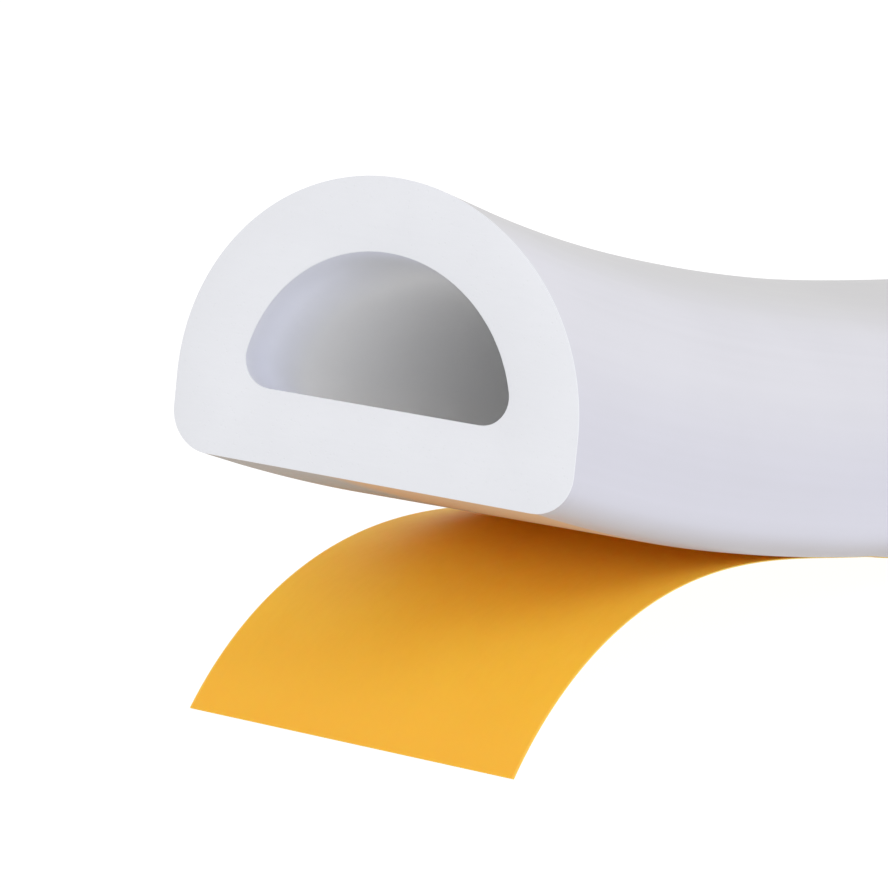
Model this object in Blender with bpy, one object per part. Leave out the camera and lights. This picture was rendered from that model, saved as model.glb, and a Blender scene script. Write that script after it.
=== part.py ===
"""Self-adhesive rubber door weatherstrip: a hollow D section with a peel-off backing strip.

The straight run lies along +X on the floor, with its backing's underside at Z = 0.
The near end bends sideways and lifts, and there the backing has come away and
curls down to the floor.
"""
import math

import bmesh
import bpy
from mathutils import Vector

# Rubber section
STRIP_WIDTH = 0.0140
SIDE_HEIGHT = 0.00235
WALL = 0.0023
BASE_WALL = 0.00235
FOOT_RADIUS = 0.0013
HOLLOW_FOOT_RADIUS = 0.0009

# Length and lie of the strip
STRIP_LENGTH = 1.0
TURN_LENGTH = 0.0160
TURN_ANGLE = math.radians(38)
TURN_SLOPE = math.radians(12)
LIFTED_LENGTH = 0.0242
MIDDLE_SLOPE = math.radians(16)
END_SLOPE = math.radians(22.3)

# Near end's cut, as it was made across the strip
CUT_SIDEWAYS = math.radians(7.5)
CUT_UPWARDS = math.radians(12)

# Backing strip
BACKING_INSET = 0.0013
BACKING_THICKNESS = 0.00015
BACKING_SHIFT = 0.0007
BACKING_GAP = 0.0003
PEELED_LENGTH = 0.0195
PEEL_CURL = 12.7
STEEPEST_CURL = math.radians(-75)

DOME_RADIUS = STRIP_WIDTH / 2
HOLLOW_RADIUS = DOME_RADIUS - WALL
BACKING_WIDTH = STRIP_WIDTH - BACKING_INSET
BASE_LEVEL = BACKING_THICKNESS + BACKING_GAP
STRAIGHT_LENGTH = STRIP_LENGTH - TURN_LENGTH - LIFTED_LENGTH
PEEL_DISTANCE = TURN_LENGTH + LIFTED_LENGTH - PEELED_LENGTH

PATH_STEP = 0.0008
CURL_STEP = 0.0004
ARC_STEPS = 6
DOME_STEPS = 28
OVERRUN = 0.006


def clear_scene():
    """Remove every object that the scene starts with."""
    for item in list(bpy.data.objects):
        bpy.data.objects.remove(item, do_unlink=True)


def new_collection(name):
    """Make a collection in the scene and return it."""
    collection = bpy.data.collections.new(name)
    bpy.context.scene.collection.children.link(collection)
    return collection


def new_material(name, colour, roughness):
    """Make a plain Principled material."""
    material = bpy.data.materials.new(name)
    material.use_nodes = True
    shader = material.node_tree.nodes["Principled BSDF"]
    shader.inputs["Base Color"].default_value = (*colour, 1.0)
    shader.inputs["Roughness"].default_value = roughness
    shader.inputs["Metallic"].default_value = 0.0
    return material


def arc(centre, radius, start, end, steps):
    """Points along an arc in the section's plane, both ends included."""
    angles = [start + (end - start) * i / steps for i in range(steps + 1)]
    return [(centre[0] + radius * math.cos(a), centre[1] + radius * math.sin(a)) for a in angles]


def d_outline(radius, centre_height, floor_height, foot_radius):
    """Outline of a D: a flat floor, rounded feet and a half-round dome."""
    foot_height = floor_height + foot_radius
    rise = max(foot_height - centre_height, 0.0)
    foot_x = math.sqrt((radius - foot_radius) ** 2 - rise ** 2)
    meet = math.atan2(rise, foot_x)
    right_foot = arc((foot_x, foot_height), foot_radius, -math.pi / 2, meet, ARC_STEPS)
    dome = arc((0.0, centre_height), radius, meet, math.pi - meet, DOME_STEPS)
    left_foot = [(-x, z) for x, z in reversed(right_foot)]
    if rise > 0.0:
        dome = dome[1:-1]
    return right_foot + dome + left_foot


def band_outline(width, thickness, shift):
    """Outline of the flat backing, with its upper face at height zero."""
    left = shift - width / 2
    right = shift + width / 2
    return [(right, -thickness), (right, 0.0), (left, 0.0), (left, -thickness)]


def turn_at(distance):
    """Sideways angle and slope of the strip, this far back from its straight run."""
    if distance <= TURN_LENGTH:
        share = distance / TURN_LENGTH
        return TURN_ANGLE * share, TURN_SLOPE * share
    share = 2 * (distance - TURN_LENGTH) / LIFTED_LENGTH
    if share <= 1:
        return TURN_ANGLE, TURN_SLOPE + (MIDDLE_SLOPE - TURN_SLOPE) * share
    return TURN_ANGLE, MIDDLE_SLOPE + (END_SLOPE - MIDDLE_SLOPE) * (share - 1)


def direction(sideways, slope):
    """Unit vector along the strip, away from its near end."""
    flat = math.cos(slope)
    return Vector((math.cos(sideways) * flat, math.sin(sideways) * flat, -math.sin(slope)))


def upright(sideways, slope):
    """Unit vector square to the strip's base, pointing up out of it."""
    lean = math.sin(slope)
    return Vector((math.cos(sideways) * lean, math.sin(sideways) * lean, math.cos(slope)))


def walk_back(start, distance, angles):
    """Points and angles going back from a point, by the midpoint rule."""
    steps = max(2, math.ceil(distance / PATH_STEP))
    length = distance / steps
    points = [start.copy()]
    turns = [angles(0.0)]
    for i in range(steps):
        points.append(points[-1] - direction(*angles((i + 0.5) * length)) * length)
        turns.append(angles((i + 1) * length))
    return points, turns


def base_line():
    """Middle line of the rubber's base, from the straight run's start to the near end."""
    return walk_back(Vector((0.0, 0.0, BASE_LEVEL)), TURN_LENGTH + LIFTED_LENGTH, turn_at)


def overrun(points, turns, distance):
    """The same line with one more point past its near end."""
    return points + [points[-1] - direction(*turns[-1]) * distance]


def poly_curve(name, points, closed, flat):
    """Curve object with one straight-sided spline through the points."""
    curve = bpy.data.curves.new(name, "CURVE")
    curve.dimensions = "2D" if flat else "3D"
    spline = curve.splines.new("POLY")
    spline.points.add(len(points) - 1)
    for point, place in zip(spline.points, points):
        point.co = (*place, 1.0)
    spline.use_cyclic_u = closed
    return bpy.data.objects.new(name, curve)


def sweep(name, outline, points, collection):
    """Sweep an outline along a line and return it as a closed mesh object."""
    guide = poly_curve(name + "_section", [(x, z, 0.0) for x, z in outline], True, True)
    path = poly_curve(name + "_path", [tuple(p) for p in points], False, False)
    path.data.twist_mode = "Z_UP"
    path.data.bevel_mode = "OBJECT"
    path.data.bevel_object = guide
    path.data.use_fill_caps = True
    collection.objects.link(guide)
    collection.objects.link(path)
    bpy.context.view_layer.update()
    graph = bpy.context.evaluated_depsgraph_get()
    mesh = bpy.data.meshes.new_from_object(path.evaluated_get(graph))
    mesh.name = name
    form = bmesh.new()
    form.from_mesh(mesh)
    bmesh.ops.remove_doubles(form, verts=form.verts, dist=0.000002)
    bmesh.ops.recalc_face_normals(form, faces=form.faces)
    form.to_mesh(mesh)
    form.free()
    solid = bpy.data.objects.new(name, mesh)
    solid.matrix_world = path.matrix_world
    bpy.data.objects.remove(path, do_unlink=True)
    bpy.data.objects.remove(guide, do_unlink=True)
    collection.objects.link(solid)
    return solid


def cut(target, cutter, name):
    """Cut one solid out of another with a live Boolean."""
    modifier = target.modifiers.new(name, "BOOLEAN")
    modifier.operation = "DIFFERENCE"
    modifier.solver = "EXACT"
    modifier.object = cutter


def hide_cutter(cutter):
    """Show a cutter as a wire guide only."""
    cutter.hide_render = True
    cutter.display_type = "WIRE"


def end_block(points, turns, cutters):
    """Block that trims the near end along its slanting cut."""
    sideways = turns[-1][0] + CUT_SIDEWAYS
    slope = turns[-1][1] - CUT_UPWARDS
    normal = direction(sideways, slope)
    size = 4 * STRIP_WIDTH
    bpy.ops.mesh.primitive_cube_add(size=size, location=points[-1] - normal * size / 2)
    block = bpy.context.object
    block.name = "near_end_block"
    block.rotation_euler = (0.0, slope, sideways)
    for owner in list(block.users_collection):
        owner.objects.unlink(block)
    cutters.objects.link(block)
    hide_cutter(block)
    return block


def make_rubber(parts, cutters):
    """Hollow D-shaped rubber strip, open at both ends."""
    points, turns = base_line()
    far_end = Vector((STRAIGHT_LENGTH, 0.0, BASE_LEVEL))
    past_far_end = far_end + Vector((OVERRUN, 0.0, 0.0))
    longer = overrun(points, turns, OVERRUN)
    outline = d_outline(DOME_RADIUS, SIDE_HEIGHT, 0.0, FOOT_RADIUS)
    rubber = sweep("rubber_profile", outline, [far_end] + longer, parts)
    hollow = d_outline(HOLLOW_RADIUS, SIDE_HEIGHT, BASE_WALL, HOLLOW_FOOT_RADIUS)
    longest = overrun(points, turns, 2 * OVERRUN)
    core = sweep("hollow_core", hollow, [past_far_end] + longest, cutters)
    hide_cutter(core)
    cut(rubber, core, "hollow")
    cut(rubber, end_block(points, turns, cutters), "near_end_cut")
    rubber.data.materials.append(new_material("white_rubber", (0.80, 0.80, 0.83), 0.45))
    rubber.data.shade_smooth()
    rubber.data.set_sharp_from_angle(angle=math.radians(35))
    return rubber


def tongue(start, turn, growth):
    """Line of the peeled tongue and the height of its free end, for a bend that grows this fast."""
    steps = math.ceil(PEELED_LENGTH / CURL_STEP)
    pace = PEELED_LENGTH / steps
    points = [start]
    for i in range(steps):
        middle = (i + 0.5) * pace
        slope = turn[1] - PEEL_CURL * middle - growth * middle ** 2 / 2
        points.append(points[-1] - direction(turn[0], slope) * pace)
    return points[1:], points[-1].z - BACKING_THICKNESS * math.cos(slope)


def landed_tongue(start, turn):
    """Line of the peeled tongue, bent so that its free end comes down to the floor."""
    flattest = 0.0
    sharpest = 2 * (turn[1] - PEEL_CURL * PEELED_LENGTH - STEEPEST_CURL) / PEELED_LENGTH ** 2
    for i in range(40):
        growth = (flattest + sharpest) / 2
        height = tongue(start, turn, growth)[1]
        if height > 0.0:
            flattest = growth
        else:
            sharpest = growth
    return tongue(start, turn, flattest)[0]


def make_backing(parts):
    """Peel-off backing under the base, which curls down to the floor at the near end."""
    peel_start, peel_turns = walk_back(Vector((0.0, 0.0, BASE_LEVEL)), PEEL_DISTANCE, turn_at)
    under = []
    for point, turn in zip(peel_start, peel_turns):
        under.append(point - upright(*turn) * BACKING_GAP)
    line = [Vector((STRAIGHT_LENGTH, 0.0, BASE_LEVEL - BACKING_GAP))] + under
    line += landed_tongue(under[-1], peel_turns[-1])
    outline = band_outline(BACKING_WIDTH, BACKING_THICKNESS, BACKING_SHIFT)
    backing = sweep("release_liner", outline, line, parts)
    backing.data.materials.append(new_material("amber_backing", (0.80, 0.42, 0.05), 0.38))
    return backing


def main():
    """Build the weatherstrip."""
    clear_scene()
    parts = new_collection("door_weatherstrip")
    cutters = new_collection("cutters")
    make_rubber(parts, cutters)
    make_backing(parts)


main()
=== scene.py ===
"""Looks of a white rubber door weatherstrip with a hollow D section.

The strip lies on the floor with its near end bent aside and lifted, and there its amber
release liner has been peeled off and curls down to the floor.
"""

import logging
import math
from dataclasses import dataclass
from enum import Enum
from typing import Callable, Dict, List, Optional, Sequence, Tuple, Union

import bmesh
import bpy
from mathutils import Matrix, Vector

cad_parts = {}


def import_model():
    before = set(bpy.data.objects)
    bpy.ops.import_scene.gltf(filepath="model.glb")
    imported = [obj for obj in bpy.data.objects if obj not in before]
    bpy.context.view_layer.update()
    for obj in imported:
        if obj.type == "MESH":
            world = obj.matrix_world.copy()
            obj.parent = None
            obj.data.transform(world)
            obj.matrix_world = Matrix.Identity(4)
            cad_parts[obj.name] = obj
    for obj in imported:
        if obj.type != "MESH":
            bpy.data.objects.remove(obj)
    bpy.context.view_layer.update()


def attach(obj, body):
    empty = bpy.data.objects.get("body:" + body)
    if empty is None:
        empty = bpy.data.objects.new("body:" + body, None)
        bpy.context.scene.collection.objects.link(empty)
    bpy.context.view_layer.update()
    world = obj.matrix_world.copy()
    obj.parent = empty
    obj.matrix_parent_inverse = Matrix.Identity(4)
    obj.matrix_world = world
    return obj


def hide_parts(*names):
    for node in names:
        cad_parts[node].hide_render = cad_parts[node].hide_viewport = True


Number = Union[int, float]
Turn = Tuple[float, float]
Span = Tuple[float, float]
Colour = Tuple[float, float, float, float]
Triple = Tuple[float, float, float]

RUBBER_IOR = 1.48
SMOOTH_ANGLE = math.radians(35)
PAST_END = 0.01
TOLERANCE = 0.0002

LOG = logging.getLogger("weatherstrip")


class Face(Enum):
    """The surfaces of the rubber that are finished differently."""

    SKIN = 0
    CUT = 1
    HOLLOW = 2


# ---- Shader maths ----


class Signal:
    """One socket of a material, on which Python's arithmetic adds Math nodes."""

    def __init__(self, graph: "Graph", socket: bpy.types.NodeSocket) -> None:
        """Wrap a socket.

        Args:
            graph: The material's graph that the socket belongs to.
            socket: The output socket to carry on from.
        """
        self.graph = graph
        self.socket = socket

    def _math(self, operation: str, *values: "Value") -> "Signal":
        """Add a Math node.

        Args:
            operation: The Math node's operation.
            values: What goes into it, in order.

        Returns:
            Its result.
        """
        node_inputs = {index: value for index, value in enumerate(values)}
        return self.graph.add("ShaderNodeMath", {"operation": operation}, node_inputs)

    def __add__(self, other: "Value") -> "Signal":
        """Sum."""
        return self._math("ADD", self, other)

    def __radd__(self, other: "Value") -> "Signal":
        """Sum, with the signal on the right."""
        return self._math("ADD", other, self)

    def __sub__(self, other: "Value") -> "Signal":
        """Difference."""
        return self._math("SUBTRACT", self, other)

    def __rsub__(self, other: "Value") -> "Signal":
        """Difference, with the signal on the right."""
        return self._math("SUBTRACT", other, self)

    def __mul__(self, other: "Value") -> "Signal":
        """Product."""
        return self._math("MULTIPLY", self, other)

    def __rmul__(self, other: "Value") -> "Signal":
        """Product, with the signal on the right."""
        return self._math("MULTIPLY", other, self)

    def magnitude(self) -> "Signal":
        """Value without its sign."""
        return self._math("ABSOLUTE", self)

    def clipped(self) -> "Signal":
        """Value kept between 0 and 1."""
        return self.graph.add("ShaderNodeClamp", {}, {"Value": self})

    def step(self, low: float, high: float) -> "Signal":
        """Ramp smoothly from 0 at one value to 1 at another.

        Args:
            low: Where the ramp starts.
            high: Where it ends.

        Returns:
            The ramp, from 0 to 1.
        """
        settings = {"interpolation_type": "SMOOTHSTEP"}
        inputs = {"Value": self, "From Min": low, "From Max": high}
        return self.graph.add("ShaderNodeMapRange", settings, inputs)


Value = Union[Number, Signal]


class Graph:
    """The nodes of one material, around its Principled shader."""

    def __init__(self, name: str) -> None:
        """Make a material with nothing but a Principled shader.

        Args:
            name: The material's name.
        """
        self.material = bpy.data.materials.new(name)
        self.material.use_nodes = True
        self.tree = self.material.node_tree
        self.shader = self.tree.nodes["Principled BSDF"]

    def add(self, kind: str, settings: Dict[str, object], inputs: Dict[Union[int, str], object],
            output: Union[int, str] = 0) -> Signal:
        """Add a node.

        Args:
            kind: The node's type.
            settings: Its properties, set before its sockets.
            inputs: A value or a signal for each of its sockets that is used.
            output: Which of its outputs to carry on from.

        Returns:
            That output.
        """
        node = self.tree.nodes.new(kind)
        for key, value in settings.items():
            setattr(node, key, value)
        for key, value in inputs.items():
            if isinstance(value, Signal):
                self.tree.links.new(value.socket, node.inputs[key])
            else:
                node.inputs[key].default_value = value
        return Signal(self, node.outputs[output])

    def mix(self, share: Value, first: object, second: object) -> Signal:
        """Mix two colours.

        Args:
            share: How much of the second one.
            first: A colour of four numbers, or a signal.
            second: The other colour.

        Returns:
            The mixed colour.
        """
        return self.add("ShaderNodeMix", {"data_type": "RGBA"}, {0: share, 6: first, 7: second}, 2)

    def lay(self, stretch: Sequence[float]) -> Signal:
        """Place on the strip as if it lay straight, stretched for a pattern.

        Args:
            stretch: What each of its axes is multiplied with.

        Returns:
            The stretched place.
        """
        place = self.add("ShaderNodeAttribute", {"attribute_name": "lay"}, {}, "Vector")
        return self.add("ShaderNodeVectorMath", {"operation": "MULTIPLY"}, {0: place, 1: tuple(stretch)})

    def axis(self, name: str) -> Signal:
        """One axis of the place on the straight strip, in metres."""
        return self.add("ShaderNodeSeparateXYZ", {}, {0: self.lay((1.0, 1.0, 1.0))}, name)

    def noise(self, stretch: Sequence[float], detail: float = 2.0, roughness: float = 0.5) -> Signal:
        """Soft noise over the straight strip.

        Args:
            stretch: Waves per metre along each axis.
            detail: How many finer layers it has.
            roughness: How strong those are.

        Returns:
            The noise, from 0 to 1.
        """
        inputs = {"Vector": self.lay(stretch), "Scale": 1.0, "Detail": detail, "Roughness": roughness}
        return self.add("ShaderNodeTexNoise", {}, inputs, "Fac")

    def streaks(self) -> Signal:
        """Fine lines that run along the strip, as the die leaves them."""
        return self.noise((30.0, 2600.0, 2600.0), 3.0)

    def clouds(self) -> Signal:
        """Broad soft patches on the rubber."""
        return self.noise((160.0, 260.0, 260.0), 3.0)

    def bump(self, height: Signal, distance: float, strength: float = 1.0,
             after: Optional[Signal] = None) -> Signal:
        """Relief from a height.

        Args:
            height: The height, from 0 to 1.
            distance: What a height of 1 stands proud, in metres.
            strength: How much of it shows.
            after: Relief that this one is laid over.

        Returns:
            The bent normal.
        """
        inputs: Dict[Union[int, str], object] = {"Height": height, "Distance": distance, "Strength": strength}
        if after is not None:
            inputs["Normal"] = after
        return self.add("ShaderNodeBump", {}, inputs)

    def set(self, **sockets: object) -> None:
        """Set or link the shader's sockets, named with underscores for spaces."""
        for key, value in sockets.items():
            socket = self.shader.inputs[key.replace("_", " ")]
            if isinstance(value, Signal):
                self.tree.links.new(value.socket, socket)
            else:
                socket.default_value = value


# ---- Finishes ----


@dataclass(frozen=True)
class RubberSkin:
    """Satin skin that the rubber has from the die, and the sticky face of its base.

    The tones by height follow the photograph's shading: they are painted shade, darker on the top and cooler
    on the lower side than in the middle of the side. On the base, the sticky adhesive's tan is painted amber
    light thrown up from the liner, and the grey patch near the cut end is painted shade.
    """

    # Tones by height are painted light and shade: the middle of the side is palest, the lower side is painted
    # cooler shade and the top painted grey shade.
    colour: Colour = (0.599, 0.595, 0.643, 1.0)
    painted_low_side_shade: Colour = (0.550, 0.546, 0.6155, 1.0)
    painted_crown_tone: Colour = (0.533, 0.528, 0.533, 1.0)
    shade: Colour = (0.50, 0.495, 0.53, 1.0)
    # The sticky colour is painted amber light thrown up from the liner onto the adhesive; the grey patch is
    # painted shade on the underside near the cut end.
    sticky: Colour = (0.57, 0.365, 0.215, 1.0)
    painted_underside_shade: Colour = (0.39, 0.365, 0.345, 1.0)
    # Painted shade along the lower edge of the foot, where it meets the floor.
    painted_foot_shade: Colour = (0.435, 0.41, 0.425, 1.0)
    painted_side_heights: Span = (0.0020, 0.0062)
    painted_crown_heights: Span = (0.0074, 0.0092)
    foot_shade_heights: Span = (0.0001, 0.0010)
    base_heights: Span = (0.00002, 0.00006)
    shade_patch_across: Span = (0.0002, 0.0020)
    shade_patch_from: float = -0.037
    shade_patch_fade: float = 0.008
    sticky_half_width: float = 0.0060
    mottling: float = 0.2
    foot_shade_share: float = 0.95
    roughness: float = 0.46
    sticky_roughness: float = 0.35
    streak_depth: float = 0.000012
    grain_depth: float = 0.000004

    def build(self) -> bpy.types.Material:
        """Make the material."""
        graph = Graph("rubber_skin")
        streaks = graph.streaks()
        clouds = graph.clouds()
        grain = graph.noise((9000.0, 9000.0, 9000.0), 2.0)
        base = 1 - graph.axis("Z").step(*self.base_heights)
        half_width = self.sticky_half_width
        across = 1 - graph.axis("Y").magnitude().step(half_width - TOLERANCE, half_width)
        sticky = (base * across).clipped()
        # Painted shade: a grey patch on one side of the underside near the cut end. The rest of the adhesive
        # is painted tan as amber light from the liner.
        near = 1 - graph.axis("X").step(self.shade_patch_from, self.shade_patch_from + self.shade_patch_fade)
        patch = graph.axis("Y").step(*self.shade_patch_across) * near
        painted_base_tones = graph.mix(patch.clipped(), self.sticky, self.painted_underside_shade)
        # Painted shade by height: darker on the lower side and on the top, paler in the middle of the side.
        tone = graph.mix(graph.axis("Z").step(*self.painted_side_heights), self.painted_low_side_shade, self.colour)
        tone = graph.mix(graph.axis("Z").step(*self.painted_crown_heights), tone, self.painted_crown_tone)
        blotches = (clouds * 0.6 + streaks * 0.4).step(0.3, 0.75)
        mottled = graph.mix(blotches * self.mottling, tone, self.shade)
        # Painted shade: the foot darkens towards its lower edge, where the floor meets it.
        low = 1 - graph.axis("Z").step(*self.foot_shade_heights)
        foot = low * (self.foot_shade_share + (clouds - 0.5) * 0.5)
        skin = graph.mix(foot.clipped(), mottled, self.painted_foot_shade)
        rough = self.roughness + (streaks - 0.5) * 0.10 + (clouds - 0.5) * 0.08
        relief = graph.bump(streaks * (1 - sticky), self.streak_depth, 0.5)
        relief = graph.bump(grain, self.grain_depth, 0.35, relief)
        graph.set(Base_Color=graph.mix(sticky, skin, painted_base_tones),
                  Roughness=(rough + sticky * self.sticky_roughness).clipped(), Normal=relief)
        graph.set(IOR=RUBBER_IOR)
        return graph.material


@dataclass(frozen=True)
class HollowSkin:
    """Skin of the hollow, with painted light and shade: pale tones deep inside, paler and bluer on its side
    wall, and painted shade in duller tones and a darker rim near the cut end, which offset the light let
    through there.
    """

    near_end: float
    cut_normal: Triple
    # Painted light deep inside, palest and bluest on the side wall; painted shade in the duller tones near
    # the cut end and in the darker rim.
    painted_crown_tone: Colour = (0.94, 0.937, 0.93, 1.0)
    side: Colour = (0.97, 0.975, 1.0, 1.0)
    painted_crown_mouth_shade: Colour = (0.58, 0.585, 0.61, 1.0)
    painted_side_mouth_shade: Colour = (0.76, 0.775, 0.865, 1.0)
    edge: Colour = (0.52, 0.53, 0.60, 1.0)
    painted_side_across: Span = (0.0010, 0.0040)
    painted_rim_depths: Span = (-0.0002, 0.0015)
    painted_shade_depths: Span = (0.0008, 0.0048)
    roughness: float = 0.55
    streak_depth: float = 0.000012
    glow: float = 0.6
    glow_through: float = 0.0040

    def build(self) -> bpy.types.Material:
        """Make the material."""
        graph = Graph("hollow_skin")
        streaks = graph.streaks()
        clouds = graph.clouds()
        ahead, across, up = self.cut_normal
        along = (graph.axis("X") - self.near_end) * ahead
        depth = along + graph.axis("Y") * across + graph.axis("Z") * up
        # Painted light and shade by depth from the cut end and by side: dull and dark near the cut, pale
        # deeper in.
        deep = depth.step(*self.painted_shade_depths) + (clouds - 0.5) * 0.12
        aside = graph.axis("Y").step(*self.painted_side_across)
        mouth = graph.mix(aside, self.painted_crown_mouth_shade, self.painted_side_mouth_shade)
        inner = graph.mix(aside, self.painted_crown_tone, self.side)
        past_edge = depth.step(*self.painted_rim_depths)
        tone = graph.mix(past_edge, self.edge, graph.mix(deep.clipped(), mouth, inner))
        graph.set(Base_Color=tone,
                  Roughness=(self.roughness + (streaks - 0.5) * 0.10).clipped(),
                  Normal=graph.bump(streaks, self.streak_depth, 0.5))
        graph.set(IOR=RUBBER_IOR)
        graph.set(Subsurface_Weight=self.glow, Subsurface_Radius=(1.0, 1.0, 1.0),
                  Subsurface_Scale=self.glow_through)
        return graph.material


@dataclass(frozen=True)
class CutRubber:
    """Matte rubber where a blade has cut through it."""

    colour: Colour = (0.722, 0.73, 0.766, 1.0)
    shade: Colour = (0.701, 0.709, 0.745, 1.0)
    roughness: float = 0.78
    pore_pitch: float = 5200.0
    drag_depth: float = 0.000010
    pit_depth: float = 0.000008

    def build(self) -> bpy.types.Material:
        """Make the material."""
        graph = Graph("cut_rubber")
        drag = graph.noise((400.0, 900.0, 5200.0), 3.0)
        place = graph.lay((self.pore_pitch, self.pore_pitch, self.pore_pitch))
        pores = graph.add("ShaderNodeTexVoronoi", {}, {"Vector": place, "Scale": 1.0})
        pits = 1 - pores.step(0.06, 0.22)
        tone = (graph.noise((500.0, 500.0, 500.0), 3.0) * 0.7 + drag * 0.3).step(0.3, 0.75)
        relief = graph.bump(drag, self.drag_depth, 0.5)
        relief = graph.bump(1 - pits, self.pit_depth, 0.5, relief)
        graph.set(Base_Color=graph.mix((tone * 0.7 + pits * 0.3).clipped(), self.colour, self.shade),
                  Roughness=(self.roughness + (drag - 0.5) * 0.1).clipped(), Normal=relief)
        graph.set(IOR=RUBBER_IOR)
        return graph.material


@dataclass(frozen=True)
class AmberLiner:
    """Smooth amber release liner, paler along its cut edges, with painted shade that darkens it at its free
    end.
    """

    half_width: float
    shift: float
    colour: Colour = (0.82, 0.485, 0.054, 1.0)
    shade: Colour = (0.78, 0.45, 0.046, 1.0)
    edge: Colour = (0.92, 0.66, 0.24, 1.0)
    # Painted shade towards the free end.
    end: Colour = (0.72, 0.405, 0.050, 1.0)
    painted_shade_stations: Span = (-0.0420, -0.0345)
    rim_from: float = 0.00009
    rim_to: float = 0.00004
    rim_share: float = 0.25
    roughness: float = 0.42
    wave_depth: float = 0.000060
    fibre_depth: float = 0.000006
    gloss: float = 0.05
    glow: float = 0.65
    glow_colours: Triple = (1.0, 0.4, 0.15)
    glow_through: float = 0.0003

    def build(self) -> bpy.types.Material:
        """Make the material."""
        graph = Graph("amber_liner")
        clouds = graph.noise((220.0, 300.0, 300.0), 3.0)
        fibres = graph.noise((1400.0, 5200.0, 5200.0), 4.0, 0.6)
        waves = graph.noise((60.0, 500.0, 1.0), 1.0)
        off_middle = (graph.axis("Y") - self.shift).magnitude()
        rim = off_middle.step(self.half_width - self.rim_from, self.half_width - self.rim_to)
        body = graph.mix((clouds * 0.7 + fibres * 0.3).step(0.3, 0.75), self.colour, self.shade)
        # Painted shade: darker towards the free end.
        body = graph.mix(graph.axis("X").step(*self.painted_shade_stations), self.end, body)
        rough = self.roughness + (clouds - 0.5) * 0.12 + (fibres - 0.5) * 0.08
        relief = graph.bump(waves, self.wave_depth, 0.35)
        relief = graph.bump(fibres, self.fibre_depth, 0.4, relief)
        graph.set(Base_Color=graph.mix(rim * self.rim_share, body, self.edge),
                  Roughness=rough.clipped(), Normal=relief)
        graph.set(Specular_IOR_Level=self.gloss)
        graph.set(Subsurface_Weight=self.glow, Subsurface_Radius=self.glow_colours,
                  Subsurface_Scale=self.glow_through)
        return graph.material


@dataclass(frozen=True)
class PaleFloor:
    """Plain white studio floor, which glows so that it takes no visible shadow."""

    colour: Colour = (0.06, 0.06, 0.06, 1.0)
    white: Colour = (1.0, 1.0, 1.0, 1.0)
    glow: float = 0.97
    roughness: float = 0.9

    def build(self) -> bpy.types.Material:
        """Make the material."""
        graph = Graph("pale_floor")
        graph.set(Base_Color=self.colour, Roughness=self.roughness, Emission_Color=self.white)
        graph.set(Emission_Strength=self.glow)
        return graph.material


# ---- How the strip lies ----


@dataclass
class Lie:
    """Line that the strip's base follows, from its bent near end to its straight run along +X."""

    length: float = 1.0
    turn_length: float = 0.0160
    turn_angle: float = math.radians(38)
    turn_slope: float = math.radians(12)
    lifted_length: float = 0.0242
    middle_slope: float = math.radians(16)
    end_slope: float = math.radians(22.3)
    step: float = 0.0004

    @property
    def bent_length(self) -> float:
        """Length of the stretch that isn't straight."""
        return self.turn_length + self.lifted_length

    @property
    def straight_length(self) -> float:
        """Length of the straight run."""
        return self.length - self.bent_length

    def turn_at(self, distance: float) -> Turn:
        """Sideways angle and slope, this far back from the straight run.

        Args:
            distance: Length along the base, from the start of the straight run.

        Returns:
            The angle from +X and the slope down into the strip, in radians.
        """
        if distance <= self.turn_length:
            share = distance / self.turn_length
            return self.turn_angle * share, self.turn_slope * share
        share = 2 * (distance - self.turn_length) / self.lifted_length
        if share <= 1:
            return self.turn_angle, self.turn_slope + (self.middle_slope - self.turn_slope) * share
        share = min(share - 1, 1.0)
        return self.turn_angle, self.middle_slope + (self.end_slope - self.middle_slope) * share

    @staticmethod
    def direction(turn: Turn) -> Vector:
        """Unit vector along the strip, away from its near end."""
        sideways, slope = turn
        return Vector((math.cos(sideways) * math.cos(slope), math.sin(sideways) * math.cos(slope),
                       -math.sin(slope)))

    @staticmethod
    def upright(turn: Turn) -> Vector:
        """Unit vector square to the base, up out of it."""
        sideways, slope = turn
        return Vector((math.cos(sideways) * math.sin(slope), math.sin(sideways) * math.sin(slope),
                       math.cos(slope)))

    def walk(self, start: Vector, distance: float, turns: Callable[[float], Turn]) -> List[Vector]:
        """Points going back from a point.

        Args:
            start: Where the walk starts.
            distance: How far it goes.
            turns: Sideways angle and slope at each distance.

        Returns:
            The points, the start among them.
        """
        count = max(1, math.ceil(distance / self.step))
        pace = distance / count
        points = [start.copy()]
        for index in range(count):
            points.append(points[-1] - self.direction(turns((index + 0.5) * pace)) * pace)
        return points

    def base(self, level: float, distance: float) -> List[Vector]:
        """Points along the base's middle, back from the start of the straight run.

        Args:
            level: Height of the base on the straight run.
            distance: How far the points go back.

        Returns:
            The points, the start of the straight run first.
        """
        return self.walk(Vector((0.0, 0.0, level)), distance, self.turn_at)


# ---- Work at the bench ----


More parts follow.
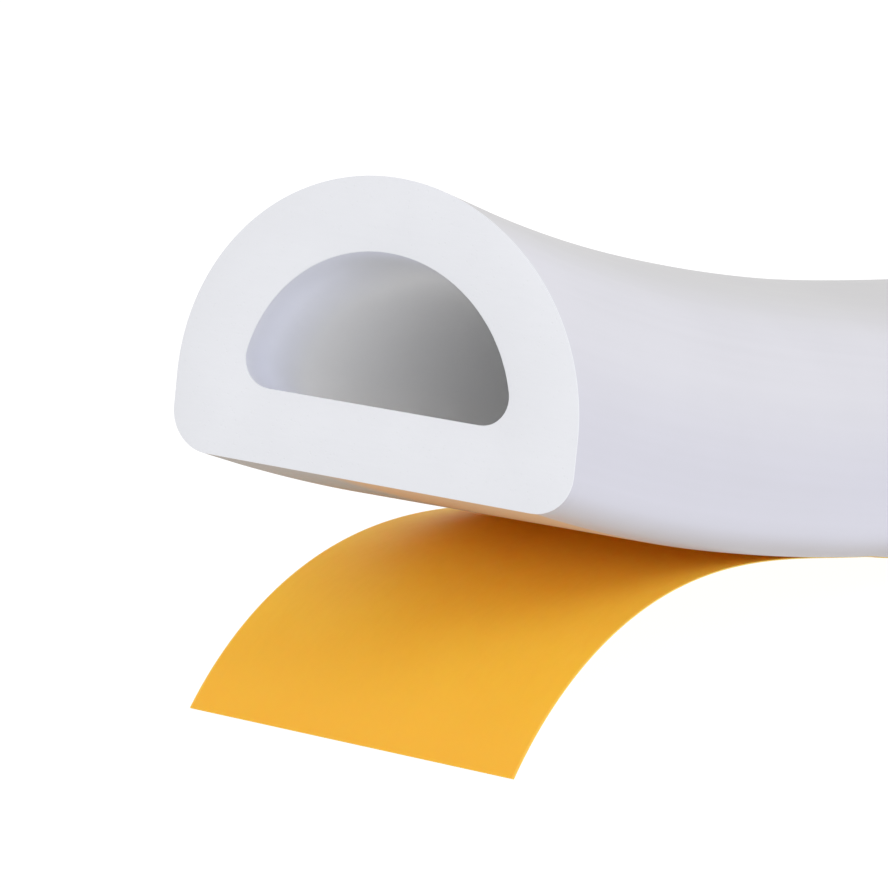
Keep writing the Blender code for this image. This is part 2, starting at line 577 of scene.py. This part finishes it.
class Bench:
    """Edit-mode steps that both pieces need."""

    @staticmethod
    def clear() -> None:
        """Leave edit mode and deselect everything."""
        if bpy.context.object and bpy.context.object.mode != "OBJECT":
            bpy.ops.object.mode_set(mode="OBJECT")
        bpy.ops.object.select_all(action="DESELECT")

    @staticmethod
    def pick(piece: bpy.types.Object, *others: bpy.types.Object) -> None:
        """Select these objects alone, with the first one active."""
        Bench.clear()
        for other in (piece, *others):
            other.select_set(True)
        bpy.context.view_layer.objects.active = piece

    @staticmethod
    def select(piece: bpy.types.Object, mode: str, test: Callable[[object], bool]) -> int:
        """Select vertices, edges or faces of a piece in edit mode by their place.

        Args:
            piece: The piece, which is in edit mode.
            mode: VERT, EDGE or FACE.
            test: Whether an element is picked.

        Returns:
            How many are selected.
        """
        bpy.ops.mesh.select_mode(type=mode)
        bpy.ops.mesh.select_all(action="DESELECT")
        form = bmesh.from_edit_mesh(piece.data)
        items = {"VERT": form.verts, "EDGE": form.edges, "FACE": form.faces}[mode]
        count = 0
        for item in items:
            if test(item):
                item.select_set(True)
                count += 1
        form.select_flush_mode()
        bmesh.update_edit_mesh(piece.data)
        return count

    @staticmethod
    def apply(piece: bpy.types.Object, kind: str, **settings: object) -> None:
        """Add a modifier with these settings and apply it."""
        Bench.pick(piece)
        modifier = piece.modifiers.new(kind.lower(), kind)
        for key, value in settings.items():
            setattr(modifier, key, value)
        bpy.ops.object.modifier_apply(modifier=modifier.name)

    @staticmethod
    def mark_lay(piece: bpy.types.Object, offset: float) -> None:
        """Keep each vertex's place on the straight strip, for the materials.

        Args:
            piece: The straight piece.
            offset: Station of the start of the straight run.
        """
        mesh = piece.data
        attribute = mesh.attributes.new("lay", "FLOAT_VECTOR", "POINT")
        for vertex, item in zip(mesh.vertices, attribute.data):
            item.vector = (vertex.co.x - offset, vertex.co.y, vertex.co.z)

    @staticmethod
    def bend(piece: bpy.types.Object, line: List[Vector]) -> None:
        """Bend a straight piece so that its stations run along a line.

        Args:
            piece: The piece, whose X is the distance along the line.
            line: Points of the line, in the order of the stations.
        """
        data = bpy.data.curves.new(piece.name + "_line", "CURVE")
        data.dimensions = "3D"
        data.twist_mode = "Z_UP"
        data.use_deform_bounds = False
        spline = data.splines.new("POLY")
        spline.points.add(len(line) - 1)
        for point, place in zip(spline.points, line):
            point.co = (*place, 1.0)
        guide = bpy.data.objects.new(data.name, data)
        bpy.context.scene.collection.objects.link(guide)
        bpy.context.view_layer.update()
        Bench.apply(piece, "CURVE", object=guide, deform_axis="POS_X")
        bpy.data.objects.remove(guide, do_unlink=True)
        bpy.data.curves.remove(data)


# ---- The rubber ----


@dataclass
class RubberProfile:
    """The hollow D-shaped rubber, open at both ends."""

    lie: Lie
    base_level: float
    width: float = 0.0140
    side_height: float = 0.00235
    wall: float = 0.0023
    base_wall: float = 0.00235
    foot_radius: float = 0.0013
    hollow_foot_radius: float = 0.0009
    cut_sideways: float = math.radians(7.5)
    cut_upwards: float = math.radians(12)
    rim: float = 0.00003
    overrun: float = 0.0035
    cut_room: float = 0.0014
    dome_steps: int = 96
    foot_steps: int = 10
    bend_steps: int = 100

    @property
    def lead(self) -> float:
        """Station of the start of the straight run."""
        return self.overrun + self.lie.bent_length

    def finishes(self) -> List[bpy.types.Material]:
        """Make the materials, in the order of the faces that they are for."""
        cut = tuple(self.lie.direction((self.cut_sideways, -self.cut_upwards)))
        hollow = HollowSkin(-self.lie.bent_length, cut)
        made = {Face.SKIN: RubberSkin(), Face.CUT: CutRubber(), Face.HOLLOW: hollow}
        return [made[face].build() for face in Face]

    def outline(self, name: str, radius: float, floor: float, foot: float) -> bpy.types.Object:
        """Draw a D outline by spinning a point round its feet and its dome.

        Args:
            name: The outline's name.
            radius: The dome's radius.
            floor: Height of its flat.
            foot: Radius of its feet.

        Returns:
            A closed line at station 0.
        """
        rise = max(floor + foot - self.side_height, 0.0)
        foot_across = math.sqrt((radius - foot) ** 2 - rise ** 2)
        meet = math.atan2(rise, foot_across)
        Bench.clear()
        bpy.ops.mesh.primitive_plane_add(size=0.001, location=(0.0, foot_across, floor))
        line = bpy.context.object
        line.name = name
        bpy.ops.object.transform_apply(location=True, rotation=True, scale=True)
        bpy.ops.object.mode_set(mode="EDIT")
        bpy.ops.mesh.select_mode(type="VERT")
        bpy.ops.mesh.select_all(action="SELECT")
        bpy.ops.mesh.merge(type="CENTER")
        self.sweep_point(math.pi / 2 + meet, (0.0, foot_across, floor + foot), self.foot_steps)
        if rise == 0.0:
            shift = (0.0, 0.0, self.side_height - floor - foot)
            bpy.ops.mesh.extrude_region_move(TRANSFORM_OT_translate={"value": shift})
        self.sweep_point(math.pi - 2 * meet, (0.0, 0.0, self.side_height), self.dome_steps)
        if rise == 0.0:
            bpy.ops.mesh.extrude_region_move(TRANSFORM_OT_translate={"value": (0.0, 0.0, -shift[2])})
        self.sweep_point(math.pi / 2 + meet, (0.0, -foot_across, floor + foot), self.foot_steps)
        Bench.select(line, "VERT", lambda v: len(v.link_edges) == 1)
        bpy.ops.mesh.edge_face_add()
        bpy.ops.object.mode_set(mode="OBJECT")
        return line

    @staticmethod
    def sweep_point(angle: float, centre: Triple, steps: int) -> None:
        """Spin the selected point about X, from +Y up towards -Y."""
        bpy.ops.mesh.spin(steps=steps, dupli=False, angle=-angle, center=centre, axis=(1.0, 0.0, 0.0))

    def straight(self) -> bpy.types.Object:
        """Make the strip before it is bent, with its near end too long.

        Returns:
            The closed hollow strip.
        """
        radius = self.width / 2
        outer = self.outline("rubber_profile_looks", radius, 0.0, self.foot_radius)
        inner = self.outline("hollow_line", radius - self.wall, self.base_wall, self.hollow_foot_radius)
        Bench.pick(outer, inner)
        bpy.ops.object.join()
        bpy.ops.object.mode_set(mode="EDIT")
        bpy.ops.mesh.select_all(action="SELECT")
        bpy.ops.mesh.bridge_edge_loops()
        bpy.ops.mesh.select_all(action="SELECT")
        tail = self.overrun + self.cut_room
        for run in (tail, self.lead - tail, self.lie.straight_length):
            bpy.ops.mesh.extrude_region_move(TRANSFORM_OT_translate={"value": (run, 0.0, 0.0)})
        Bench.select(outer, "EDGE", lambda e: tail - 1e-6 < min(v.co.x for v in e.verts) < tail + 1e-6
                     and abs(e.verts[0].co.x - e.verts[1].co.x) > self.lead / 2)
        bpy.ops.mesh.subdivide(number_cuts=self.bend_steps)
        bpy.ops.object.mode_set(mode="OBJECT")
        return outer

    def trim_near_end(self, piece: bpy.types.Object, centre: Vector, normal: Vector) -> None:
        """Cut the near end off along its slant and close the wall there.

        Args:
            piece: The bent strip.
            centre: Middle of the base at the cut.
            normal: Square to the cut, into the strip.
        """
        Bench.pick(piece)
        bpy.ops.object.mode_set(mode="EDIT")
        reach = 4 * self.width
        Bench.select(piece, "VERT", lambda v: (v.co - centre).length < reach)
        bpy.ops.mesh.bisect(plane_co=centre, plane_no=normal, clear_inner=True, use_fill=False)
        Bench.select(piece, "EDGE", lambda e: len(e.link_faces) == 1)
        bpy.ops.mesh.bridge_edge_loops()
        bpy.ops.mesh.select_all(action="SELECT")
        bpy.ops.mesh.normals_make_consistent(inside=False)
        bpy.ops.object.mode_set(mode="OBJECT")

    def dress(self, piece: bpy.types.Object, normal: Vector) -> None:
        """Round the cut rims a little and give skin and cuts their finishes.

        Args:
            piece: The trimmed strip.
            normal: Square to the near cut.
        """
        def is_cut(face: object) -> bool:
            """Whether a face lies in one of the two cuts."""
            return abs(face.normal.dot(normal)) > 0.9999 or face.normal.x > 0.9999

        for material in self.finishes():
            piece.data.materials.append(material)
        lay = piece.data.attributes["lay"].data
        for polygon in piece.data.polygons:
            place = lay[polygon.vertices[0]].vector
            off_centre = math.hypot(place[1], place[2] - self.side_height)
            inside = (off_centre < self.width / 2 - self.wall + TOLERANCE
                      and place[2] > self.base_wall - TOLERANCE)
            face = Face.CUT if is_cut(polygon) else Face.HOLLOW if inside else Face.SKIN
            polygon.material_index = face.value
        Bench.pick(piece)
        bpy.ops.object.mode_set(mode="EDIT")
        Bench.select(piece, "EDGE", lambda e: len(e.link_faces) == 2
                     and is_cut(e.link_faces[0]) != is_cut(e.link_faces[1]))
        bpy.ops.mesh.bevel(offset=self.rim, segments=2, affect="EDGES", clamp_overlap=True,
                           material=Face.CUT.value)
        bpy.ops.object.mode_set(mode="OBJECT")
        bpy.ops.object.shade_smooth_by_angle(angle=SMOOTH_ANGLE)

    def build(self) -> bpy.types.Object:
        """Make the rubber strip.

        Returns:
            The finished piece.
        """
        piece = self.straight()
        Bench.mark_lay(piece, self.lead)
        line = self.lie.base(self.base_level, self.lie.bent_length)
        turn = self.lie.turn_at(self.lie.bent_length)
        tail = [line[-1] - self.lie.direction(turn) * self.overrun]
        far = Vector((self.lie.straight_length + PAST_END, 0.0, self.base_level))
        Bench.bend(piece, tail + line[::-1] + [far])
        normal = self.lie.direction((turn[0] + self.cut_sideways, turn[1] - self.cut_upwards))
        self.trim_near_end(piece, line[-1], normal)
        self.dress(piece, normal)
        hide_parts("rubber_profile")
        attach(piece, "root")
        LOG.info("%s: %d faces", piece.name, len(piece.data.polygons))
        return piece


# ---- The liner ----


@dataclass
class ReleaseLiner:
    """The thin amber strip under the base, whose peeled end curls down to the floor."""

    lie: Lie
    width: float = 0.01262
    thickness: float = 0.00004
    shift: float = 0.00062
    gap: float = 0.000002
    peeled_length: float = 0.0216
    curl_growth: float = 4215.0
    tongue_steps: int = 100
    tongue_pace: float = 0.0002
    cuts_across: int = 7
    rim: float = 0.000008
    rim_angle: float = math.radians(60)

    @property
    def base_level(self) -> float:
        """Height of the rubber's base over the floor."""
        return self.thickness + self.gap

    def underside(self) -> Tuple[List[Vector], float]:
        """Line of the liner's underside, from its free end to the start of the straight run.

        Returns:
            The points and the length that they have.
        """
        distance = self.lie.bent_length - self.peeled_length
        spine = self.lie.base(self.base_level, distance)
        count = len(spine) - 1
        turns = [self.lie.turn_at(distance * index / count) for index in range(count + 1)]
        points = [spot - self.lie.upright(turn) * self.base_level for spot, turn in zip(spine, turns)]
        sideways, slope = turns[-1]
        pace = self.tongue_pace
        middle = pace / 2
        while points[-1].z > 0.0:
            bent = slope - self.curl_growth * middle ** 2 / 2
            points.append(points[-1] - self.lie.direction((sideways, bent)) * pace)
            middle += pace
        over = points[-1].z / (points[-1].z - points[-2].z)
        points[-1] = points[-1].lerp(points[-2], over)
        length = sum((b - a).length for a, b in zip(points, points[1:]))
        return points[::-1], length

    def build(self) -> bpy.types.Object:
        """Make the liner.

        Returns:
            The finished piece.
        """
        points, lead = self.underside()
        length = lead + self.lie.straight_length
        Bench.clear()
        bpy.ops.mesh.primitive_cube_add(size=1.0, location=(lead / 2, self.shift, self.thickness / 2),
                                        scale=(lead, self.width, self.thickness))
        piece = bpy.context.object
        piece.name = "release_liner_looks"
        bpy.ops.object.transform_apply(location=True, rotation=True, scale=True)
        bpy.ops.object.mode_set(mode="EDIT")
        Bench.select(piece, "EDGE", lambda e: abs(e.verts[0].co.x - e.verts[1].co.x) > lead / 2)
        bpy.ops.mesh.subdivide(number_cuts=self.tongue_steps)
        Bench.select(piece, "EDGE", lambda e: abs(e.verts[0].co.y - e.verts[1].co.y) > self.width / 2)
        bpy.ops.mesh.subdivide(number_cuts=self.cuts_across)
        Bench.select(piece, "FACE", lambda f: f.normal.x > 0.99)
        bpy.ops.mesh.extrude_region_move(TRANSFORM_OT_translate={"value": (length - lead, 0.0, 0.0)})
        bpy.ops.object.mode_set(mode="OBJECT")
        Bench.mark_lay(piece, lead)
        Bench.bend(piece, points + [Vector((self.lie.straight_length + PAST_END, 0.0, 0.0))])
        Bench.apply(piece, "BEVEL", width=self.rim, segments=1, limit_method="ANGLE",
                    angle_limit=self.rim_angle)
        piece.data.materials.append(AmberLiner(self.width / 2, self.shift).build())
        Bench.pick(piece)
        bpy.ops.object.shade_smooth_by_angle(angle=SMOOTH_ANGLE)
        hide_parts("release_liner")
        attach(piece, "root")
        LOG.info("%s: %d faces", piece.name, len(piece.data.polygons))
        return piece


# ---- The studio ----


@dataclass
class Studio:
    """White floor, soft light and the camera."""

    camera_place: Triple = (-0.06516, -0.12634, 0.0379)
    azimuth: float = math.radians(-18)
    elevation: float = math.radians(14.09)
    lens: float = 150.26
    horizon: Colour = (0.95, 0.97, 0.975, 1.0)
    zenith: Colour = (0.925, 0.90, 0.885, 1.0)
    lamp_size: float = 1.0
    lamp_distance: float = 2.0

    def build(self) -> None:
        """Set up the floor, the light and the camera."""
        self.lay_floor()
        self.light()
        self.place_camera()

    def lay_floor(self) -> None:
        """Lay the floor under the strip."""
        Bench.clear()
        bpy.ops.mesh.primitive_plane_add(size=40.0, location=(0.0, 0.0, -0.00002))
        floor = bpy.context.object
        floor.name = "floor"
        floor.data.materials.append(PaleFloor().build())

    def light(self) -> None:
        """Light the room with a soft sky, a lamp in front and a stronger one at the side."""
        world = bpy.data.worlds.new("studio")
        world.use_nodes = True
        nodes, links = world.node_tree.nodes, world.node_tree.links
        compass = nodes.new("ShaderNodeTexCoord")
        split = nodes.new("ShaderNodeSeparateXYZ")
        sky = nodes.new("ShaderNodeMix")
        sky.data_type = "RGBA"
        sky.inputs[6].default_value = self.horizon
        sky.inputs[7].default_value = self.zenith
        links.new(compass.outputs["Generated"], split.inputs[0])
        links.new(split.outputs["Z"], sky.inputs[0])
        links.new(sky.outputs[2], nodes["Background"].inputs["Color"])
        bpy.context.scene.world = world
        self.lamp("front_lamp", (250, 20), 4.0, (0.995, 1.0, 1.01))
        self.lamp("side_lamp", (315, 40), 9.1, (0.985, 1.0, 1.045))

    def lamp(self, name: str, bearing: Tuple[float, float], power: float,
             colour: Triple) -> None:
        """Hang a square soft lamp that faces the strip's near end.

        Args:
            name: The lamp's name.
            bearing: Degrees round from +X and degrees up, where it hangs.
            power: Its power in watts.
            colour: Its colour.
        """
        data = bpy.data.lights.new(name, "AREA")
        data.size = self.lamp_size
        data.energy = power
        data.color = colour
        lamp = bpy.data.objects.new(name, data)
        round_x, up = (math.radians(angle) for angle in bearing)
        away = Vector((math.cos(round_x) * math.cos(up), math.sin(round_x) * math.cos(up), math.sin(up)))
        lamp.location = away * self.lamp_distance
        lamp.rotation_euler = (-away).to_track_quat("-Z", "Y").to_euler()
        bpy.context.scene.collection.objects.link(lamp)

    def place_camera(self) -> None:
        """Place the camera as in the photograph."""
        data = bpy.data.cameras.new("camera")
        data.sensor_width = 36.0
        data.lens = self.lens
        data.clip_start = 0.005
        data.clip_end = 100.0
        camera = bpy.data.objects.new("camera", data)
        camera.location = self.camera_place
        camera.rotation_euler = (math.pi / 2 - self.elevation, 0.0, self.azimuth)
        bpy.context.scene.collection.objects.link(camera)
        bpy.context.scene.camera = camera
        bpy.context.scene.view_settings.view_transform = "Standard"


def main() -> None:
    """Build the weatherstrip's looks around its frame."""
    logging.basicConfig(level=logging.INFO, format="%(name)s %(message)s")
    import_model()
    lie = Lie()
    liner = ReleaseLiner(lie)
    liner.build()
    RubberProfile(lie, liner.base_level).build()
    Studio().build()


if __name__ == "__main__":
    main()
